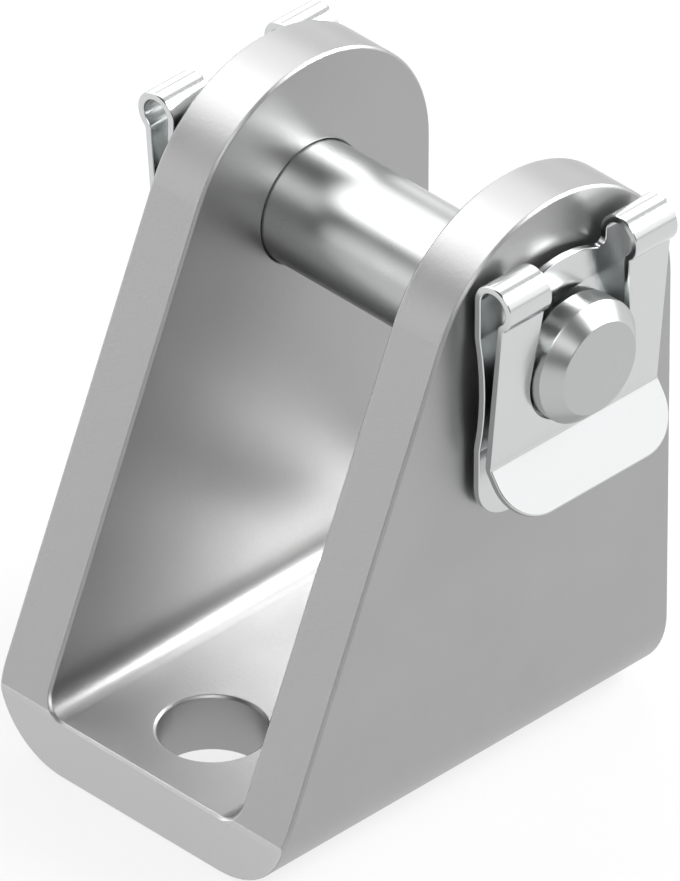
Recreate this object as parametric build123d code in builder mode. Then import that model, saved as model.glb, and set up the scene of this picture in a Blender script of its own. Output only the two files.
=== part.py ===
from build123d import *

import os
from math import atan, degrees, radians, sin

# Clevis foot for a pneumatic cylinder: one bent steel bracket, a plain pin through
# both of its ears, and a folded spring clip on each end of the pin.
#
# Millimetres, +Z up. The origin lies on the mounting face, midway between the ears and
# straight below the pin. +X runs along the pin, and the sloping front edges face -Y.

# Bracket: one thick strip bent to a U, with its ears rounded about the pin
plate_thickness = 4.0
clevis_width = 16.1  # clear width between the ears
axis_height = 30.0  # pin axis above the mounting face
ear_radius = 10.0
base_length = 32.0  # front edge to rear edge
slope_rise = 0.05  # from the top of the base up to where the front edges start to slope
inside_bend_radius = 1.5
edge_break = 0.15  # small chamfer along every sharp edge

# Holes for the two mounting screws, one behind the other
screw_hole_diameter = 6.6
screw_hole_to_end = 6.0  # from the front edge and from the rear edge

# Pin: one diameter in and between the ears, and a ring groove outside each ear
pin_diameter = 8.0
pin_bore_clearance = 0.05  # radial
pin_bore_edge_break = 0.08
neck_diameter = 6.0
groove_to_ear = 0.1  # the full diameter runs this far out of the ear
groove_width = 1.4
head_length = 2.45  # from the groove to the end of the pin
head_chamfer = 1.0
pin_edge_break = 0.1

# Retaining clip: one strip of spring steel, folded over at two rolls on top
strip_thickness = 0.5
clip_width = 13.85
clip_to_ear = 0.45
clip_to_head = 0.15  # from the crest of the bowed rear leg to the pin's head
fork_clearance = 0.08  # radial, round the neck of the pin
fork_length = 9.42  # from the pin axis down to the feet of the rear leg
foot_outer_rounding = 2.6
foot_inner_rounding = 0.6
bow_above_axis = 4.0
bow_below_axis = 4.15
bow_end_radius = 1.0
arch_radius = 6.4  # top edge of the rear leg between the rolls, about the pin
arch_rounding = 0.5
roll_radius = 1.5
roll_rise = 6.55  # from the pin axis up to the axis of the rolls
roll_gap = 6.95  # between the two rolls
roll_return = 50.0  # degrees that a roll turns back past its foremost line
return_bend_radius = 0.25
front_lean = 5.2  # degrees that the front leg leans towards the ear, going down
front_leg_length = 10.1
window_clearance = 0.1  # radial, round the pin's head
window_mouth_rise = 5.4  # from the pin axis up to where the window is as wide as the gap
tab_bend_radius = 0.4
tab_angle = 34.0  # degrees that the thumb tab stands out from the upright
tab_length = 3.75
tab_rounding = 2.9

# Sizes that follow from those above
outer_width = clevis_width + 2 * plate_thickness
ear_face = outer_width / 2
ear_top = axis_height + ear_radius
base_front = base_length - ear_radius
screw_hole_spacing = base_length - 2 * screw_hole_to_end
groove_start = ear_face + groove_to_ear
head_start = groove_start + groove_width
pin_end = head_start + head_length
clip_face = ear_face + clip_to_ear
strip_middle = clip_face + strip_thickness / 2
bow_height = head_start - clip_to_head - strip_thickness - clip_face
bow_length = bow_above_axis + bow_below_axis
bow_angle = 2 * degrees(atan(2 * bow_height / bow_length))
bow_radius = bow_length / 2 / sin(radians(bow_angle)) - bow_end_radius
fork_width = neck_diameter + 2 * fork_clearance
foot_width = (clip_width - fork_width) / 2

os.makedirs("parts", exist_ok=True)

# Bracket
with BuildPart() as bracket:
    # The U, seen from the front
    with BuildSketch(Plane.XZ.offset(-ear_radius)) as channel:
        Rectangle(outer_width, ear_top, align=(Align.CENTER, Align.MIN))
        fillet(channel.vertices().group_by(Axis.Y)[0], inside_bend_radius + plate_thickness)
    extrude(amount=base_length)
    with BuildSketch(Plane.XZ.offset(-ear_radius)) as hollow:
        with Locations((0, plate_thickness)):
            Rectangle(clevis_width, ear_top, align=(Align.CENTER, Align.MIN))
        fillet(hollow.vertices().group_by(Axis.Y)[0], inside_bend_radius)
    extrude(amount=base_length, mode=Mode.SUBTRACT)

    # The outline from the side: round top, straight flanks, upright front edge
    with BuildSketch(Plane.YZ):
        with Locations((0, axis_height)):
            Circle(ear_radius)
        with Locations((ear_radius, 0)):
            Rectangle(base_length, plate_thickness + slope_rise, align=(Align.MAX, Align.MIN))
        make_hull()
    extrude(amount=ear_face, both=True, mode=Mode.INTERSECT)

    # Every sharp edge is broken, but not the seams where faces run on smoothly
    bend_seams = bracket.edges().filter_by(Axis.Y)
    round_seams = bracket.edges().filter_by(Axis.X).filter_by_position(Axis.Z, axis_height, ear_top)
    chamfer(bracket.edges() - bend_seams - round_seams, edge_break)

    # The pin's bores, one through each ear
    with Locations(Plane.YZ.offset(ear_face)):
        with Locations((0, axis_height)):
            Hole(pin_diameter / 2 + pin_bore_clearance)
    chamfer(bracket.edges(Select.LAST).filter_by(GeomType.CIRCLE), pin_bore_edge_break)

    # The screw holes
    with Locations((0, screw_hole_to_end - base_front, plate_thickness)):
        with Locations((0, 0), (0, screw_hole_spacing)):
            Hole(screw_hole_diameter / 2)
    chamfer(bracket.edges(Select.LAST).filter_by(GeomType.CIRCLE), edge_break)

# Pin, turned from bar
with BuildPart() as pivot_pin:
    with BuildSketch(Plane.XZ):
        with BuildLine():
            Polyline(
                (0, axis_height),
                (0, axis_height + pin_diameter / 2),
                (groove_start, axis_height + pin_diameter / 2),
                (groove_start, axis_height + neck_diameter / 2),
                (head_start, axis_height + neck_diameter / 2),
                (head_start, axis_height + pin_diameter / 2),
                (pin_end - head_chamfer, axis_height + pin_diameter / 2),
                (pin_end, axis_height + pin_diameter / 2 - head_chamfer),
                (pin_end, axis_height),
                close=True,
            )
        make_face()
        mirror(about=Plane.YZ)
    revolve(axis=Axis((0, 0, axis_height), (1, 0, 0)))
    chamfer(pivot_pin.edges().filter_by(GeomType.CIRCLE), pin_edge_break)

# Front half of a retaining clip: the rolls, the leg round the pin's head and the tab
with BuildPart() as clip_front:
    with BuildSketch(Plane.XZ):
        with BuildLine():
            roll = JernArc(
                (strip_middle, axis_height + roll_rise),
                (0, 1),
                roll_radius - strip_thickness / 2,
                -180 - roll_return,
            )
            return_bend = JernArc(
                roll @ 1, roll % 1, return_bend_radius + strip_thickness / 2, roll_return - front_lean
            )
            front_leg = Line(return_bend @ 1, return_bend @ 1 + front_leg_length * (return_bend % 1))
            tab_bend = JernArc(
                front_leg @ 1, front_leg % 1, tab_bend_radius + strip_thickness / 2, front_lean + tab_angle
            )
            Line(tab_bend @ 1, tab_bend @ 1 + tab_length * (tab_bend % 1))
        trace(line_width=strip_thickness)
    extrude(amount=clip_width / 2, both=True)
    tab_end = clip_front.faces().sort_by(Axis.X)[-1]
    fillet(tab_end.edges().sort_by(SortBy.LENGTH)[:2], tab_rounding)

    # The window hugs the pin's head and narrows upwards to the gap between the rolls
    with BuildSketch(Plane.YZ.offset(clip_face)) as window:
        with Locations((0, axis_height)):
            Circle(pin_diameter / 2 + window_clearance)
            Rectangle(roll_gap, window_mouth_rise, align=(Align.CENTER, Align.MIN))
        make_hull()
        with Locations((0, axis_height)):
            Rectangle(roll_gap, roll_rise + roll_radius + roll_gap, align=(Align.CENTER, Align.MIN))
    extrude(amount=pin_end, mode=Mode.SUBTRACT)

# Retaining clip on the right-hand end of the pin
with BuildPart() as clip_right:
    # Rear leg, bowed away from the ear, from its feet up to the rolls
    with BuildSketch(Plane.XZ):
        with BuildLine():
            foot = Line(
                (strip_middle, axis_height - fork_length),
                (strip_middle, axis_height - bow_below_axis),
            )
            bow_in = JernArc(foot @ 1, foot % 1, bow_end_radius, -bow_angle)
            bow = JernArc(bow_in @ 1, bow_in % 1, bow_radius, 2 * bow_angle)
            bow_out = JernArc(bow @ 1, bow % 1, bow_end_radius, -bow_angle)
            Line(bow_out @ 1, (strip_middle, axis_height + roll_rise))
        trace(line_width=strip_thickness)
    extrude(amount=clip_width / 2, both=True)

    # Between the rolls its top edge is an arch about the pin
    with BuildSketch(Plane.YZ) as notch:
        with Locations((0, axis_height)):
            Rectangle(roll_gap, roll_rise + roll_gap, align=(Align.CENTER, Align.MIN))
            Circle(arch_radius, mode=Mode.SUBTRACT)
        fillet(notch.vertices().group_by(Axis.Y)[0], arch_rounding)
    extrude(amount=pin_end, mode=Mode.SUBTRACT)

    # The fork that slides over the neck of the pin
    with BuildSketch(Plane.YZ):
        with Locations((0, axis_height)):
            Circle(fork_width / 2)
            Rectangle(fork_width, fork_length, align=(Align.CENTER, Align.MAX))
    extrude(amount=pin_end, mode=Mode.SUBTRACT)
    foot_corners = clip_right.edges().filter_by(Axis.X).group_by(Axis.Z)[0].sort_by(Axis.Y)
    fillet([foot_corners[0], foot_corners[-1]], min(foot_outer_rounding, foot_width - foot_inner_rounding))
    foot_corners = clip_right.edges().filter_by(Axis.X).group_by(Axis.Z)[0].sort_by(Axis.Y)
    fillet(foot_corners[1:3], foot_inner_rounding)

    add(clip_front.part)

# The clip on the left-hand end is the same part turned round
with BuildPart() as clip_left:
    add(clip_right.part)
    mirror(about=Plane.YZ, mode=Mode.REPLACE)

bracket.part.label = "bracket"
pivot_pin.part.label = "pivot_pin"
clip_right.part.label = "retaining_clip_right"
clip_left.part.label = "retaining_clip_left"

for piece in (bracket, pivot_pin, clip_right, clip_left):
    export_step(piece.part, f"parts/{piece.part.label}.step")
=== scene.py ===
from math import acos, atan, atan2, ceil, cos, degrees, hypot, pi, radians, sin, sqrt, tan

import bmesh
import bpy
from mathutils import Matrix, Vector


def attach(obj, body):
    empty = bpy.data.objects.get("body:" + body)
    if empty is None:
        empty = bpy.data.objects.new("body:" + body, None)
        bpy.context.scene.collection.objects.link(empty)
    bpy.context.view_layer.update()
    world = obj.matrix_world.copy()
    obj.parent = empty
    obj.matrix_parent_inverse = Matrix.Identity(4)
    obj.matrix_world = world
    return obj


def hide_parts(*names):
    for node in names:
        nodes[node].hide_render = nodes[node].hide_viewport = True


# Clevis foot for a pneumatic cylinder, in metres and in the frame of its CAD model: +X runs
# along the pin, +Z points up, and the sloping edges of the ears face -Y.
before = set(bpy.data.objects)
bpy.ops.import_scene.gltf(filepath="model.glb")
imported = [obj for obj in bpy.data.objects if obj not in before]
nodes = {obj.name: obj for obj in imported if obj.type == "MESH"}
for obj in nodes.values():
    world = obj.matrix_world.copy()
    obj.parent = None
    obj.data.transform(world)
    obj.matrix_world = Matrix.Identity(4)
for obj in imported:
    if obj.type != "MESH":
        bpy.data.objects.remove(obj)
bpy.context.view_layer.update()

millimetre = 0.001
axis_height = 30.0 * millimetre  # the pin's axis above the mounting face


def new_object(name, data):
    made = bpy.data.objects.new(name, data)
    bpy.context.scene.collection.objects.link(made)
    return made


# Camera: the photograph's own viewpoint, far off with a long lens
camera_azimuth = radians(45.13)
camera_elevation = radians(35.13)
camera_roll = radians(0.21)
camera_distance = 1.7857
camera_aim = Vector((-5.495, 0.0, 14.076)) * millimetre
picture_height = 52.09 * millimetre  # what the tall side of the picture spans at the aim point

back = Vector((
    sin(camera_azimuth) * cos(camera_elevation),
    -cos(camera_azimuth) * cos(camera_elevation),
    sin(camera_elevation),
))
right = Vector((cos(camera_azimuth), sin(camera_azimuth), 0.0))
turn = Matrix((right, back.cross(right), back)).transposed() @ Matrix.Rotation(camera_roll, 3, "Z")
camera = new_object("camera", bpy.data.cameras.new("camera"))
camera.data.lens = camera.data.sensor_width * camera_distance / picture_height
camera.matrix_world = Matrix.Translation(camera_aim + camera_distance * back) @ turn.to_4x4()
bpy.context.scene.camera = camera


def linear(code):
    """The linear colour, with alpha, of an sRGB hex code."""
    channels = [int(code[i:i + 2], 16) / 255 for i in (1, 3, 5)]
    return [c / 12.92 if c <= 0.04045 else ((c + 0.055) / 1.055) ** 2.4 for c in channels] + [1.0]


def add_node(tree, kind, settings=None, links=None, **values):
    """A new node of that kind: settings are its attributes, values its unlinked inputs, and
    links the outputs that feed its other inputs, by name, or by number where names repeat."""
    node = tree.nodes.new(kind)
    for name, value in (settings or {}).items():
        setattr(node, name, value)
    for name, value in values.items():
        node.inputs[name.replace("_", " ")].default_value = value
    for name, source in (links or {}).items():
        tree.links.new(source, node.inputs[name])
    return node


def new_material(name):
    material = bpy.data.materials.new(name)
    material.use_nodes = True
    material.node_tree.nodes.clear()
    return material, material.node_tree


# Sizes of the surface patterns, in millimetres
zinc_grain = 0.22  # blasting grit of about 0.1 mm, drawn twice as coarse so that it shows
zinc_grain_depth = 0.006
zinc_clouds = 5.0
worn_edge = 0.12  # how far blasting has rounded the plate's broken edges
painted_brighter_front_y = -21.9  # the base's sheared front face lies in front of this, along Y; its colour is painted lighter, as painted light
lathe_lines = 0.11  # a real feed of 0.05 mm, drawn coarser so that it shows
lathe_line_depth = 0.0008
handling_marks = 3.0
rolling_lines = 0.09  # across the strip, drawn coarser than real rolling lines so that they show
rolling_line_length = 6.0
rolling_line_depth = 0.0005

# How rough each metal is where it is brightest, and how much rougher its marks make it
zinc_roughness = 0.34
zinc_cloud_dullness = 0.1
turned_roughness = 0.24
handling_dullness = 0.1
strip_roughness = 0.13
rolling_line_dullness = 0.12


def zinc_plated_steel():
    """Plate that is pressed, blasted and then zinc-plated: an even satin grey whose fine sandy
    grain only just breaks up the soft reflections, with faint clouds where the plating is a
    little duller, and no brushing lines. Its broken edges are worn round, so that they catch
    the light. The base's sheared front face gets a lighter colour, which is painted light."""
    material, tree = new_material("zinc-plated pressed steel plate")
    place = add_node(tree, "ShaderNodeTexCoord").outputs["Object"]
    grain = add_node(tree, "ShaderNodeTexNoise", None, {"Vector": place},
                     Scale=1 / (zinc_grain * millimetre), Detail=2.0, Roughness=0.6)
    clouds = add_node(tree, "ShaderNodeTexNoise", None, {"Vector": place},
                      Scale=1 / (zinc_clouds * millimetre), Detail=3.0, Roughness=0.55)
    tone = add_node(tree, "ShaderNodeMix", {"data_type": "RGBA"}, {"Factor": clouds.outputs["Fac"]})
    tone.inputs[6].default_value = linear("#a3a3a3")
    tone.inputs[7].default_value = linear("#ababab")
    along = add_node(tree, "ShaderNodeSeparateXYZ", None, {"Vector": place})
    # Painted light: the base's sheared front face gets a lighter colour than the rest of the plate
    painted_front_mask = add_node(tree, "ShaderNodeMath", {"operation": "LESS_THAN"}, {0: along.outputs["Y"]})
    painted_front_mask.inputs[1].default_value = painted_brighter_front_y * millimetre
    colour = add_node(tree, "ShaderNodeMix", {"data_type": "RGBA"},
                      {"Factor": painted_front_mask.outputs[0], 6: tone.outputs[2]})
    # the lighter colour painted on the base's front face, as painted light
    colour.inputs[7].default_value = linear("#c2c2c2")
    dullness = add_node(tree, "ShaderNodeMath", {"operation": "MULTIPLY_ADD"},
                        {0: clouds.outputs["Fac"]})
    dullness.inputs[1].default_value = zinc_cloud_dullness
    dullness.inputs[2].default_value = zinc_roughness
    edges = add_node(tree, "ShaderNodeBevel", {"samples": 6}, Radius=worn_edge * millimetre)
    relief = add_node(tree, "ShaderNodeBump", None,
                      {"Height": grain.outputs["Fac"], "Normal": edges.outputs[0]},
                      Strength=1.0, Distance=zinc_grain_depth * millimetre)
    shader = add_node(tree, "ShaderNodeBsdfPrincipled", None,
                      {"Base Color": colour.outputs[2], "Roughness": dullness.outputs[0],
                       "Normal": relief.outputs[0]}, Metallic=1.0)
    add_node(tree, "ShaderNodeOutputMaterial", links={"Surface": shader.outputs[0]})
    return material


def turned_steel():
    """Bright bar, turned and then polished: soft reflections drawn out along the pin, with fine
    lathe lines round its axis that show as rings on its ends."""
    material, tree = new_material("turned and polished steel")
    place = add_node(tree, "ShaderNodeTexCoord").outputs["Object"]
    centred = add_node(tree, "ShaderNodeVectorMath", {"operation": "SUBTRACT"}, {0: place})
    centred.inputs[1].default_value = (0.0, 0.0, axis_height)
    along = add_node(tree, "ShaderNodeSeparateXYZ", None, {"Vector": centred.outputs[0]})
    across = add_node(tree, "ShaderNodeVectorMath", {"operation": "MULTIPLY"}, {0: centred.outputs[0]})
    across.inputs[1].default_value = (0.0, 1.0, 1.0)
    radius = add_node(tree, "ShaderNodeVectorMath", {"operation": "LENGTH"}, {0: across.outputs[0]})
    ring = add_node(tree, "ShaderNodeCombineXYZ", None,
                    {"X": along.outputs["X"], "Y": radius.outputs["Value"]})
    lines = add_node(tree, "ShaderNodeTexNoise", {"noise_dimensions": "2D"},
                     {"Vector": ring.outputs[0]},
                     Scale=1 / (lathe_lines * millimetre), Detail=2.0, Roughness=0.6)
    handling = add_node(tree, "ShaderNodeTexNoise", None, {"Vector": place},
                        Scale=1 / (handling_marks * millimetre), Detail=3.0)
    dullness = add_node(tree, "ShaderNodeMath", {"operation": "MULTIPLY_ADD"},
                        {0: handling.outputs["Fac"]})
    dullness.inputs[1].default_value = handling_dullness
    dullness.inputs[2].default_value = turned_roughness
    relief = add_node(tree, "ShaderNodeBump", None, {"Height": lines.outputs["Fac"]},
                      Strength=1.0, Distance=lathe_line_depth * millimetre)
    shader = add_node(tree, "ShaderNodeBsdfPrincipled", None,
                      {"Roughness": dullness.outputs[0], "Normal": relief.outputs[0]}, Metallic=1.0)
    shader.inputs["Base Color"].default_value = linear("#b5b7b6")
    add_node(tree, "ShaderNodeOutputMaterial", links={"Surface": shader.outputs[0]})
    return material


def spring_steel():
    """Bright cold-rolled strip, hardened and folded: near to a mirror, cool in tone, with faint
    rolling lines that run along the strip and follow it round its folds."""
    material, tree = new_material("bright rolled spring steel")
    flat = add_node(tree, "ShaderNodeAttribute", {"attribute_name": "flat_place"})
    drawn = add_node(tree, "ShaderNodeMapping", None, {"Vector": flat.outputs["Vector"]})
    across, along = 1 / rolling_lines, 1 / rolling_line_length  # the flat place is in millimetres
    drawn.inputs["Scale"].default_value = (along, across, across)
    lines = add_node(tree, "ShaderNodeTexNoise", None, {"Vector": drawn.outputs[0]},
                     Scale=1.0, Detail=3.0, Roughness=0.6)
    dullness = add_node(tree, "ShaderNodeMath", {"operation": "MULTIPLY_ADD"},
                        {0: lines.outputs["Fac"]})
    dullness.inputs[1].default_value = rolling_line_dullness
    dullness.inputs[2].default_value = strip_roughness
    relief = add_node(tree, "ShaderNodeBump", None, {"Height": lines.outputs["Fac"]},
                      Strength=1.0, Distance=rolling_line_depth * millimetre)
    shader = add_node(tree, "ShaderNodeBsdfPrincipled", None,
                      {"Roughness": dullness.outputs[0], "Normal": relief.outputs[0]}, Metallic=1.0)
    shader.inputs["Base Color"].default_value = linear("#cccece")
    add_node(tree, "ShaderNodeOutputMaterial", links={"Surface": shader.outputs[0]})
    return material


def dress(node, material):
    for slot in nodes[node].material_slots:
        slot.material = material


def finish_piece(source, name, body, slot, *replaced):
    """Turn an object with modifiers, in millimetres, into a plain mesh in metres that rides on a
    body in place of some CAD nodes, and remove the object."""
    graph = bpy.context.evaluated_depsgraph_get()
    mesh = bpy.data.meshes.new_from_object(source.evaluated_get(graph))
    mesh.name = name
    mesh.transform(Matrix.Scale(millimetre, 4))
    bpy.data.objects.remove(source)
    piece = new_object(name, mesh)
    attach(piece, body)
    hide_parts(*replaced)


def even_normals(piece):
    """Smooth shading in which flats stay flat and only rounded edges and bends turn the light."""
    piece.data.shade_smooth()
    weighted = piece.modifiers.new("even normals", "WEIGHTED_NORMAL")
    weighted.mode = "FACE_AREA_WITH_ANGLE"
    weighted.weight = 100  # the largest face at a corner decides which way it faces


def arc_points(centre, radius, first, last, step):
    """Points on an arc, from one angle to the other, both in degrees, at most step apart."""
    count = ceil(abs(last - first) / step)
    angles = [radians(first + (last - first) * i / count) for i in range(count + 1)]
    return [(centre[0] + radius * cos(a), centre[1] + radius * sin(a)) for a in angles]


# The pin and the clips, in millimetres until they are finished
ear_face = 12.05  # the outer face of an ear, from the part's middle
pin_radius = 4.0
neck_radius = 3.0
groove_to_ear = 0.1
groove_width = 1.4
head_length = 2.45
head_chamfer = 1.0
turned_edge = 0.12  # radius of the edges that the lathe tool and the tumbling leave

strip_thickness = 0.5
strip_edge = 0.11  # radius of the deburred edges of the strip
clip_width = 13.85
clip_to_ear = 0.45
clip_to_head = 0.15  # from the crest of the bowed rear leg to the pin's head
fork_clearance = 0.08
fork_length = 9.42
foot_outer_rounding = 2.6
foot_inner_rounding = 0.6
bow_below_axis = 4.15
bow_above_axis = 4.0
bow_end_radius = 1.0
arch_radius = 6.4
arch_rounding = 0.5
roll_radius = 1.5
roll_rise = 6.55
roll_return = 50.0
roll_gap = 6.95
return_bend_radius = 0.25
front_lean = 5.2
front_leg_length = 10.1
window_clearance = 0.1
window_mouth_rise = 5.4
tab_bend_radius = 0.4
tab_angle = 34.0
tab_length = 3.75
tab_rounding = 2.9

# Sizes that follow from those above; a middle radius is that of the strip's middle line
groove_start = ear_face + groove_to_ear
head_start = groove_start + groove_width
pin_end = head_start + head_length
clip_face = ear_face + clip_to_ear
strip_middle = clip_face + strip_thickness / 2
bow_height = head_start - clip_to_head - strip_thickness - clip_face
roll_middle_radius = roll_radius - strip_thickness / 2
return_middle_radius = return_bend_radius + strip_thickness / 2
tab_middle_radius = tab_bend_radius + strip_thickness / 2
window_radius = pin_radius + window_clearance

# How finely round shapes are drawn
pin_sides = 144
arc_step = 7.5  # degrees between the points of an arc
arch_step = 4.0  # the same for the arch between the rolls
corner_step = 15.0  # the same for small roundings
bend_step = 4.0  # the same for the lines at which the blank can bend
edge_segments = 3

# How near to each other things count as one place, in millimetres
cut_snap = 1e-5  # a cut goes through a point of the blank that lies this close
crease_snap = 1e-4  # an edge of the blank belongs to a bend line that lies this close


def side_profile():
    """The middle line of the folded strip, seen from the front, from the feet of the fork over
    the roll to the end of the tab: its points as X and height above the pin's axis, the length
    along it at each of them, and the first and last point of each bend."""
    bow_length = bow_below_axis + bow_above_axis
    bow_angle = 2 * degrees(atan(2 * bow_height / bow_length))
    bow_radius = bow_length / 2 / sin(radians(bow_angle)) - bow_end_radius
    # Each move is a straight length with no turn, or a bend's radius and the degrees it turns
    moves = [
        (fork_length - bow_below_axis, 0),
        (bow_end_radius, -bow_angle), (bow_radius, 2 * bow_angle), (bow_end_radius, -bow_angle),
        (roll_rise - bow_above_axis, 0),
        (roll_middle_radius, -180 - roll_return),
        (return_middle_radius, roll_return - front_lean),
        (front_leg_length, 0),
        (tab_middle_radius, front_lean + tab_angle),
        (tab_length, 0),
    ]
    x, z, heading = strip_middle, -fork_length, 90.0
    points, bends = [(x, z)], []
    for size, turn in moves:
        first = len(points) - 1
        if turn == 0:
            points.append((x + size * cos(radians(heading)), z + size * sin(radians(heading))))
        else:
            side = 90 if turn > 0 else -90
            inward = radians(heading + side)
            centre = (x + size * cos(inward), z + size * sin(inward))
            points += arc_points(centre, size, heading - side, heading - side + turn, bend_step)[1:]
            bends.append((first, len(points) - 1))
        (x, z), heading = points[-1], heading + turn
    lengths = [0.0]
    for (x0, z0), (x1, z1) in zip(points, points[1:]):
        lengths.append(lengths[-1] + hypot(x1 - x0, z1 - z0))
    return points, lengths, bends


profile_points, profile_lengths, profile_bends = side_profile()
bend_points = {i for first, last in profile_bends for i in range(first, last + 1)}
bend_lines = [profile_lengths[i] for i in sorted(bend_points)]
# The profile's highest point, where the rear leg's side of the strip ends and the front leg's begins
roll_top = max(range(len(profile_points)), key=lambda i: profile_points[i][1])


def length_at(height, on_front_leg):
    """The length along the profile at which it passes that height above the pin's axis."""
    part = range(roll_top, len(profile_points) - 1) if on_front_leg else range(roll_top)
    for i in part:
        low, high = profile_points[i][1], profile_points[i + 1][1]
        if min(low, high) <= height <= max(low, high):
            share = (height - low) / (high - low)
            return profile_lengths[i] + share * (profile_lengths[i + 1] - profile_lengths[i])
    raise ValueError("the profile doesn't reach that height")


def blank_outline():
    """Half of the flat blank's outer edge, from the crest of the fork's slot round a foot and
    along the side to the middle of the tab: length along the strip, and Y."""
    slot = neck_radius + fork_clearance
    side = clip_width / 2
    end = profile_lengths[-1]
    inner, outer, tab = foot_inner_rounding, foot_outer_rounding, tab_rounding
    edge = [(length_at(z, False), y) for z, y in arc_points((0, 0), slot, 0, 90, arc_step)]
    edge += arc_points((inner, slot + inner), inner, 270, 180, corner_step)
    edge += arc_points((outer, side - outer), outer, 180, 90, arc_step)
    edge += arc_points((end - tab, side - tab), tab, 90, 0, arc_step)
    return edge + [(end, 0.0)]


def opening_outline():
    """Half of the opening between the rolls and round the pin's head, from the crest of the arch
    on the rear leg to the foot of the window on the front leg."""
    gap = roll_gap / 2
    rounding_y = gap - arch_rounding
    rounding_z = sqrt((arch_radius + arch_rounding) ** 2 - rounding_y ** 2)
    meet = degrees(atan2(rounding_z, rounding_y))
    edge = [(length_at(z, False), y) for y, z in arc_points((0, 0), arch_radius, 90, meet, arch_step)]
    corner = arc_points((rounding_y, rounding_z), arch_rounding, meet - 180, 0, corner_step)
    edge += [(length_at(z, False), y) for y, z in corner[1:]]
    mouth = hypot(gap, window_mouth_rise)
    touch = degrees(atan2(window_mouth_rise, gap) - acos(window_radius / mouth))
    edge.append((length_at(window_mouth_rise, True), gap))
    window = arc_points((0, 0), window_radius, touch, -90, arc_step)
    return edge + [(length_at(z, True), y) for y, z in window]


def both_halves(half):
    """The closed outline that a half and its mirror image make, each end point once."""
    return half + [(s, -y) for s, y in reversed(half[1:-1])]


def flat_blank():
    """The blank as cut from strip, without its thickness, with a crease line at every bend."""
    blank = bmesh.new()
    for outline in (both_halves(blank_outline()), both_halves(opening_outline())):
        ring = [blank.verts.new((s, y, 0.0)) for s, y in outline]
        for i, vert in enumerate(ring):
            blank.edges.new((ring[i - 1], vert))
    bmesh.ops.triangle_fill(blank, edges=blank.edges[:], use_beauty=True, normal=(0, 0, 1))
    for line in bend_lines:
        bmesh.ops.bisect_plane(blank, geom=blank.verts[:] + blank.edges[:] + blank.faces[:],
                               dist=cut_snap, plane_co=(line, 0, 0), plane_no=(1, 0, 0))

    def is_crease(edge):
        start, end = (vert.co.x for vert in edge.verts)
        off_line = min(abs(start - line) for line in bend_lines)
        return abs(start - end) < crease_snap and off_line < crease_snap

    spare = [edge for edge in blank.edges if not edge.is_boundary and not is_crease(edge)]
    bmesh.ops.dissolve_edges(blank, edges=spare, use_verts=False, use_face_split=False)
    loose = [vert for vert in blank.verts if not vert.is_boundary and len(vert.link_edges) == 2]
    bmesh.ops.dissolve_verts(blank, verts=loose)
    bmesh.ops.recalc_face_normals(blank, faces=blank.faces[:])
    if blank.faces[0].normal.z < 0:
        bmesh.ops.reverse_faces(blank, faces=blank.faces[:])
    mesh = bpy.data.meshes.new("clip blank")
    blank.to_mesh(mesh)
    blank.free()
    return mesh


def folding_tree():
    """Geometry nodes that fold a flat blank: its X becomes the length along a profile curve, its
    Y stays, and its Z becomes the distance from the middle of the strip. They keep the flat place
    of every point for the strip's rolling lines."""
    tree = bpy.data.node_groups.new("fold along side profile", "GeometryNodeTree")
    for name, kind in (("Blank", "NodeSocketGeometry"), ("Profile", "NodeSocketObject"),
                       ("Side", "NodeSocketFloat"), ("Axis Height", "NodeSocketFloat"),
                       ("Steel", "NodeSocketMaterial")):
        tree.interface.new_socket(name=name, in_out="INPUT", socket_type=kind)
    tree.interface.new_socket(name="Clip", in_out="OUTPUT", socket_type="NodeSocketGeometry")
    given = add_node(tree, "NodeGroupInput").outputs
    place = add_node(tree, "GeometryNodeInputPosition").outputs[0]
    flat = add_node(tree, "ShaderNodeSeparateXYZ", None, {"Vector": place}).outputs
    curve = add_node(tree, "GeometryNodeObjectInfo", None, {"Object": given["Profile"]})
    sample = add_node(tree, "GeometryNodeSampleCurve", {"mode": "LENGTH", "use_all_curves": True},
                      {"Curves": curve.outputs["Geometry"], "Length": flat["X"]})
    across = add_node(tree, "ShaderNodeVectorMath", {"operation": "CROSS_PRODUCT"},
                      {0: sample.outputs["Tangent"]})
    across.inputs[1].default_value = (0, 1, 0)
    depth = add_node(tree, "ShaderNodeVectorMath", {"operation": "SCALE"},
                     {0: across.outputs[0], "Scale": flat["Z"]})
    level = add_node(tree, "ShaderNodeCombineXYZ", None, {"Y": flat["Y"], "Z": given["Axis Height"]})
    bent = add_node(tree, "ShaderNodeVectorMath", {"operation": "ADD"},
                    {0: sample.outputs["Position"], 1: depth.outputs[0]})
    lifted = add_node(tree, "ShaderNodeVectorMath", {"operation": "ADD"},
                      {0: bent.outputs[0], 1: level.outputs[0]})
    facing = add_node(tree, "ShaderNodeCombineXYZ", None, {"X": given["Side"], "Y": given["Side"]},
                      Z=1.0)
    turned = add_node(tree, "ShaderNodeVectorMath", {"operation": "MULTIPLY"},
                      {0: lifted.outputs[0], 1: facing.outputs[0]})
    marked = add_node(tree, "GeometryNodeStoreNamedAttribute", {"data_type": "FLOAT_VECTOR"},
                      {"Geometry": given["Blank"], "Value": place}, Name="flat_place")
    folded = add_node(tree, "GeometryNodeSetPosition", None,
                      {"Geometry": marked.outputs[0], "Position": turned.outputs[0]})
    whole = add_node(tree, "GeometryNodeRealizeInstances", None, {"Geometry": folded.outputs[0]})
    steel = add_node(tree, "GeometryNodeSetMaterial", None,
                     {"Geometry": whole.outputs[0], "Material": given["Steel"]})
    add_node(tree, "NodeGroupOutput", None, {"Clip": steel.outputs[0]})
    return tree


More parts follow.
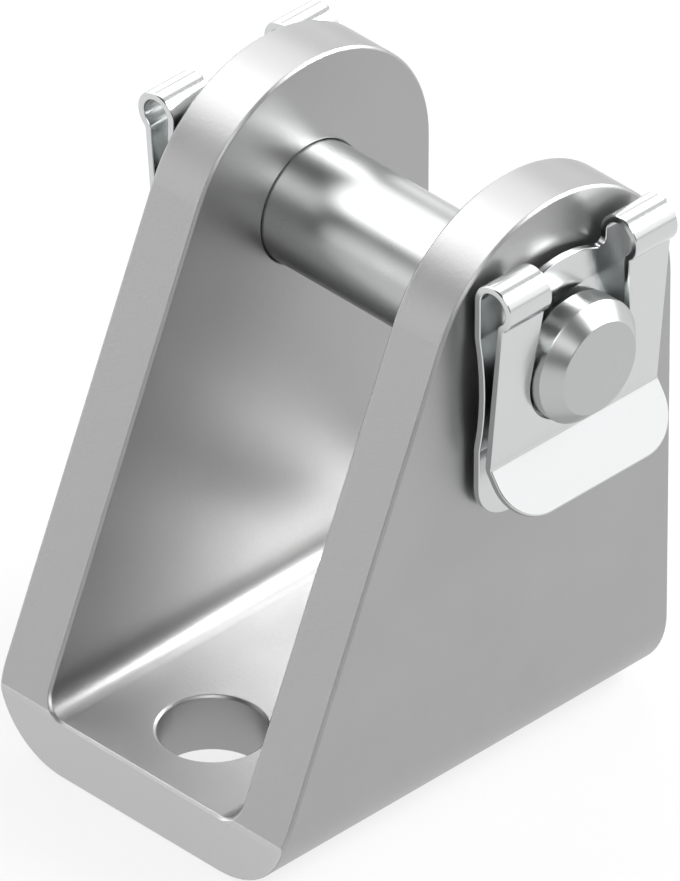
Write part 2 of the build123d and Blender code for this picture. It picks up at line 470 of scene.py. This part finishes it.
def add_tree(piece, tree, **inputs):
    """Run a geometry node tree on a piece, with its inputs by name."""
    modifier = piece.modifiers.new(tree.name, "NODES")
    modifier.node_group = tree
    for socket in tree.interface.items_tree:
        name = socket.name.replace(" ", "_")
        if name in inputs:
            modifier[socket.identifier] = inputs[name]


def make_clip(name, body, side, tree, steel):
    """A clip as its maker folds it from a flat blank, on the right for side 1, turned round to
    the left for side -1."""
    line = bpy.data.curves.new("side profile", "CURVE")
    line.dimensions = "3D"
    spline = line.splines.new("POLY")
    spline.points.add(len(profile_points) - 1)
    for point, (x, z) in zip(spline.points, profile_points):
        point.co = (x, 0.0, z, 1.0)
    profile = new_object("side profile", line)
    blank = new_object(name + " blank", flat_blank())
    wall = blank.modifiers.new("strip thickness", "SOLIDIFY")
    wall.thickness = strip_thickness
    wall.offset = 0.0
    edges = blank.modifiers.new("deburred edges", "BEVEL")
    edges.width = strip_edge
    edges.segments = edge_segments
    edges.limit_method = "ANGLE"
    edges.angle_limit = radians(60)  # every cut edge, as the blank is still flat
    add_tree(blank, tree, Profile=profile, Side=float(side), Axis_Height=axis_height / millimetre,
             Steel=steel)
    even_normals(blank)
    finish_piece(blank, name, body, "spring_steel", "retaining_" + name)
    bpy.data.objects.remove(profile)


def rounded_corners(outline, radius):
    """The open outline with an arc of that radius in each of its corners."""
    path = [outline[0]]
    for before, corner, after in zip(outline, outline[1:], outline[2:]):
        into = (Vector(corner) - Vector(before)).normalized()
        out = (Vector(after) - Vector(corner)).normalized()
        turn = into.angle_signed(out)
        reach = radius * tan(abs(turn) / 2)
        count = ceil(degrees(abs(turn)) / corner_step)
        start = Vector(corner) - reach * into
        for i in range(count + 1):
            part = abs(turn) * i / count
            inward = (out - into.dot(out) * into).normalized()
            path.append(start + radius * (sin(part) * into + (1 - cos(part)) * inward))
    return path + [outline[-1]]


def make_pin(steel):
    """The pin as the lathe turns it: its half outline swept round the axis."""
    half = [(0.0, pin_radius), (groove_start, pin_radius), (groove_start, neck_radius),
            (head_start, neck_radius), (head_start, pin_radius),
            (pin_end - head_chamfer, pin_radius), (pin_end, pin_radius - head_chamfer), (pin_end, 0.0)]
    half = [tuple(point) for point in rounded_corners(half, turned_edge)]
    outline = [(-x, r) for x, r in reversed(half[1:])] + half[1:]
    lathe = bmesh.new()
    height = axis_height / millimetre
    rings = []
    for x, r in outline:
        count = pin_sides if r > 0 else 1
        angles = [2 * pi * i / count for i in range(count)]
        rings.append([lathe.verts.new((x, r * sin(a), height + r * cos(a))) for a in angles])
    for near, far in zip(rings, rings[1:]):
        for i in range(pin_sides):
            corners = [near[i % len(near)], near[i - 1 if len(near) > 1 else 0],
                       far[i - 1 if len(far) > 1 else 0], far[i % len(far)]]
            lathe.faces.new(list(dict.fromkeys(corners)))
    bmesh.ops.recalc_face_normals(lathe, faces=lathe.faces[:])
    mesh = bpy.data.meshes.new("turned pin")
    lathe.to_mesh(mesh)
    lathe.free()
    mesh.materials.append(steel)
    pin = new_object("turned pin", mesh)
    even_normals(pin)
    finish_piece(pin, "pin", "pin", "pin_steel", "pivot_pin")


dress("bracket", zinc_plated_steel())
make_pin(turned_steel())
folding = folding_tree()
clip_steel = spring_steel()
make_clip("clip_right", "clip_right", 1, folding, clip_steel)
make_clip("clip_left", "clip_left", -1, folding, clip_steel)


# Studio: a pale table, and soft lamps all round that shine from the surround
floor_radius = 0.8
floor_sides = 96
floor_colour = "#cdcdcd"
floor_white_share = 0.8  # how much of it is plain white where it is seen directly or in metal
studio_dimness = 0.03  # how bright the surround is between the lamps, where 1 is white
lamp_core = 0.35  # the share of its reach over which a lamp is at its brightest

# Each lamp's azimuth, elevation and reach in degrees, and its brightness, where 1 is white
soft_lamps = {
    "low left front": (-147, 5, 29, 3.0),
    "left front": (-172, 47, 29, 4.2),
    "right rear": (54, 40, 17, 21.0),
    "rear": (80, 28, 20, 10.0),
    "high rear": (95, 56, 18, 0.7),
    "low right rear": (64, 2, 24, 1.5),
    "clip tab": (35, 15, 21, 1.35),
    "high left": (131, 48, 22, 2.8),
    "low left rear": (146, 2, 31, 2.7),
    "high right front": (-42, 40, 22, 5.5),
    "low front": (-60, 5, 22, 0.9),
}


def direction(azimuth, elevation):
    """The unit vector that points that way from the object: azimuth in degrees from +X towards
    +Y, elevation in degrees above the floor."""
    a, e = radians(azimuth), radians(elevation)
    return Vector((cos(a) * cos(e), sin(a) * cos(e), sin(e)))


def add_floor():
    """A round table top. Seen directly or in metal, it is mostly plain white, and the rest of
    it is matt paint that shows the object's soft shadow."""
    bpy.ops.mesh.primitive_circle_add(vertices=floor_sides, radius=floor_radius, fill_type="NGON")
    floor = bpy.context.object
    floor.name = "floor"
    material, tree = new_material("matt white studio floor")
    paint = add_node(tree, "ShaderNodeBsdfDiffuse", Color=linear(floor_colour))
    white = add_node(tree, "ShaderNodeEmission", Color=linear("#ffffff"), Strength=1.0)
    rays = add_node(tree, "ShaderNodeLightPath")
    seen = rays.outputs["Is Camera Ray"]
    for ray in ("Is Glossy Ray", "Is Transmission Ray"):
        either = add_node(tree, "ShaderNodeMath", {"operation": "MAXIMUM"},
                          {0: seen, 1: rays.outputs[ray]})
        seen = either.outputs[0]
    share = add_node(tree, "ShaderNodeMath", {"operation": "MULTIPLY"}, {0: seen})
    share.inputs[1].default_value = floor_white_share
    mixed = add_node(tree, "ShaderNodeMixShader", None,
                     {0: share.outputs[0], 1: paint.outputs[0], 2: white.outputs[0]})
    add_node(tree, "ShaderNodeOutputMaterial", links={"Surface": mixed.outputs[0]})
    floor.data.materials.append(material)


def add_surround():
    """A dark studio with soft lamps: each is brightest round its middle, and fades out smoothly
    towards its reach."""
    world = bpy.data.worlds.new("studio surround")
    bpy.context.scene.world = world
    world.use_nodes = True
    tree = world.node_tree
    tree.nodes.clear()
    place = add_node(tree, "ShaderNodeTexCoord").outputs["Generated"]
    light = add_node(tree, "ShaderNodeValue").outputs[0]
    light.default_value = studio_dimness
    for azimuth, elevation, reach, brightness in soft_lamps.values():
        nearness = add_node(tree, "ShaderNodeVectorMath", {"operation": "DOT_PRODUCT"}, {0: place})
        nearness.inputs[1].default_value = direction(azimuth, elevation)
        glow = add_node(tree, "ShaderNodeMapRange", {"interpolation_type": "SMOOTHSTEP"},
                        {"Value": nearness.outputs["Value"]}, From_Min=cos(radians(reach)),
                        From_Max=cos(radians(lamp_core * reach)), To_Max=brightness)
        light = add_node(tree, "ShaderNodeMath", {"operation": "ADD"},
                         {0: light, 1: glow.outputs[0]}).outputs[0]
    sky = add_node(tree, "ShaderNodeBackground", None, {"Strength": light})
    sky.inputs["Color"].default_value = linear("#ffffff")
    add_node(tree, "ShaderNodeOutputWorld", links={"Surface": sky.outputs[0]})


add_floor()
add_surround()
scene = bpy.context.scene
scene.view_settings.view_transform = "Standard"
